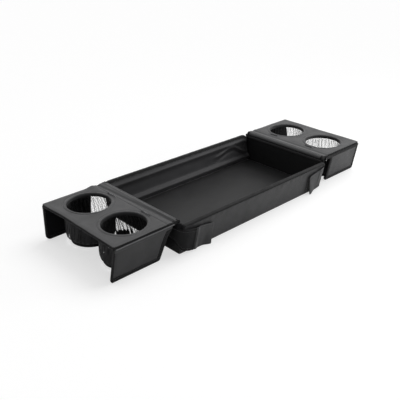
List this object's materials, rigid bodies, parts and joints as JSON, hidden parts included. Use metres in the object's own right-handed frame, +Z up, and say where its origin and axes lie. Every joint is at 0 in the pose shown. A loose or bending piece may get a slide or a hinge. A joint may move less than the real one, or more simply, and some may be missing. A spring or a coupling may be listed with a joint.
{
  "type": "snack tray",
  "caption": "Soft-sided snack tray that lies across a wagon, with a shallow lined tray and a folding wing of net cup holders and hanging flaps at each end.",
  "frame": {"origin": "centre of the tray's underside", "axes": "+X along the tray to the right wing, +Y to the far long wall, +Z up"},
  "size_m": [0.692, 0.2374, 0.0726],
  "materials": {
    "cover_cloth": "matte coated woven polyester",
    "smooth_lining": "smooth wipe-clean coated lining with a soft sheen",
    "binding_tape": "woven binding tape",
    "cup_net": "open knitted net",
    "loop_tape": "brushed loop tape",
    "stiff_board": "pressed stiffener board"
  },
  "bodies": {
    "tray": {"floor_underside": "cover_cloth", "floor_board": "stiff_board", "floor_liner": "smooth_lining", "left_end_board": "stiff_board", "left_end_cover": "cover_cloth", "left_end_strip": "cover_cloth", "right_end_board": "stiff_board", "right_end_cover": "cover_cloth", "right_end_strip": "cover_cloth", "left_tab_roots": "cover_cloth", "right_tab_roots": "cover_cloth"},
    "near_wall": {"near_wall_board": "stiff_board", "near_wall_cover": "cover_cloth", "near_wall_lining": "smooth_lining", "near_wall_binding": "binding_tape", "near_wall_loop_patches": "loop_tape"},
    "far_wall": {"far_wall_board": "stiff_board", "far_wall_cover": "cover_cloth", "far_wall_lining": "smooth_lining", "far_wall_binding": "binding_tape", "far_wall_loop_patches": "loop_tape"},
    "left_wing": {"left_wing_board": "stiff_board", "left_wing_top": "cover_cloth", "left_wing_underside": "cover_cloth", "left_wing_edge": "binding_tape", "near_left_hole_ring": "binding_tape", "near_left_cup_net": "cup_net", "far_left_hole_ring": "binding_tape", "far_left_cup_net": "cup_net"},
    "right_wing": {"right_wing_board": "stiff_board", "right_wing_top": "cover_cloth", "right_wing_underside": "cover_cloth", "right_wing_edge": "binding_tape", "near_right_hole_ring": "binding_tape", "near_right_cup_net": "cup_net", "far_right_hole_ring": "binding_tape", "far_right_cup_net": "cup_net"},
    "near_left_flap": {"near_left_flap_board": "stiff_board", "near_left_flap_cover": "cover_cloth", "near_left_flap_binding": "binding_tape"},
    "far_left_flap": {"far_left_flap_board": "stiff_board", "far_left_flap_cover": "cover_cloth", "far_left_flap_binding": "binding_tape"},
    "near_right_flap": {"near_right_flap_board": "stiff_board", "near_right_flap_cover": "cover_cloth", "near_right_flap_binding": "binding_tape"},
    "far_right_flap": {"far_right_flap_board": "stiff_board", "far_right_flap_cover": "cover_cloth", "far_right_flap_binding": "binding_tape"},
    "near_left_cup_base": {"near_left_cup_base": "binding_tape"},
    "near_left_tab": {"near_left_tab": "cover_cloth"},
    "far_left_cup_base": {"far_left_cup_base": "binding_tape"},
    "far_left_tab": {"far_left_tab": "cover_cloth"},
    "near_right_cup_base": {"near_right_cup_base": "binding_tape"},
    "near_right_tab": {"near_right_tab": "cover_cloth"},
    "far_right_cup_base": {"far_right_cup_base": "binding_tape"},
    "far_right_tab": {"far_right_tab": "cover_cloth"}
  },
  "joints": [
    {"name": "near_wall_fold", "type": "hinge", "parent": "tray", "child": "near_wall", "pos_m": [0, -0.10184, 0.0055], "axis": [-1, 0, 0], "range_deg": [0, 96]},
    {"name": "far_wall_fold", "type": "hinge", "parent": "tray", "child": "far_wall", "pos_m": [0, 0.10184, 0.0055], "axis": [1, 0, 0], "range_deg": [0, 96]},
    {"name": "left_wing_fold", "type": "hinge", "parent": "tray", "child": "left_wing", "pos_m": [-0.21715, 0, 0.0723], "axis": [0, 1, 0], "range_deg": [0, 178]},
    {"name": "right_wing_fold", "type": "hinge", "parent": "tray", "child": "right_wing", "pos_m": [0.21715, 0, 0.0723], "axis": [0, -1, 0], "range_deg": [0, 178]},
    {"name": "near_left_flap_swing", "type": "hinge", "parent": "left_wing", "child": "near_left_flap", "pos_m": [-0.29, -0.108, 0.06488], "axis": [-1, 0, 0], "range_deg": [-2.1, 105]},
    {"name": "far_left_flap_swing", "type": "hinge", "parent": "left_wing", "child": "far_left_flap", "pos_m": [-0.29, 0.108, 0.06488], "axis": [1, 0, 0], "range_deg": [-5.4, 105]},
    {"name": "near_right_flap_swing", "type": "hinge", "parent": "right_wing", "child": "near_right_flap", "pos_m": [0.29, -0.108, 0.06488], "axis": [-1, 0, 0], "range_deg": [0, 105]},
    {"name": "far_right_flap_swing", "type": "hinge", "parent": "right_wing", "child": "far_right_flap", "pos_m": [0.29, 0.108, 0.06488], "axis": [1, 0, 0], "range_deg": [-1.6, 105]},
    {"name": "near_left_cup_collapse", "type": "slide", "parent": "left_wing", "child": "near_left_cup_base", "axis": [0, 0, 1], "range_m": [0, 0.045], "deforming": ["near_left_cup_net"]},
    {"name": "far_left_cup_collapse", "type": "slide", "parent": "left_wing", "child": "far_left_cup_base", "axis": [0, 0, 1], "range_m": [0, 0.045], "deforming": ["far_left_cup_net"]},
    {"name": "near_right_cup_collapse", "type": "slide", "parent": "right_wing", "child": "near_right_cup_base", "axis": [0, 0, 1], "range_m": [0, 0.045], "deforming": ["near_right_cup_net"]},
    {"name": "far_right_cup_collapse", "type": "slide", "parent": "right_wing", "child": "far_right_cup_base", "axis": [0, 0, 1], "range_m": [0, 0.045], "deforming": ["far_right_cup_net"]},
    {"name": "near_left_tab_peel", "type": "hinge", "parent": "tray", "child": "near_left_tab", "pos_m": [-0.21205, -0.103, 0.026], "axis": [0, 0, -1], "range_deg": [0, 100]},
    {"name": "far_left_tab_peel", "type": "hinge", "parent": "tray", "child": "far_left_tab", "pos_m": [-0.21205, 0.103, 0.026], "axis": [0, 0, 1], "range_deg": [0, 100]},
    {"name": "near_right_tab_peel", "type": "hinge", "parent": "tray", "child": "near_right_tab", "pos_m": [0.21205, -0.103, 0.026], "axis": [0, 0, 1], "range_deg": [0, 100]},
    {"name": "far_right_tab_peel", "type": "hinge", "parent": "tray", "child": "far_right_tab", "pos_m": [0.21205, 0.103, 0.026], "axis": [0, 0, -1], "range_deg": [0, 100]}
  ]
}
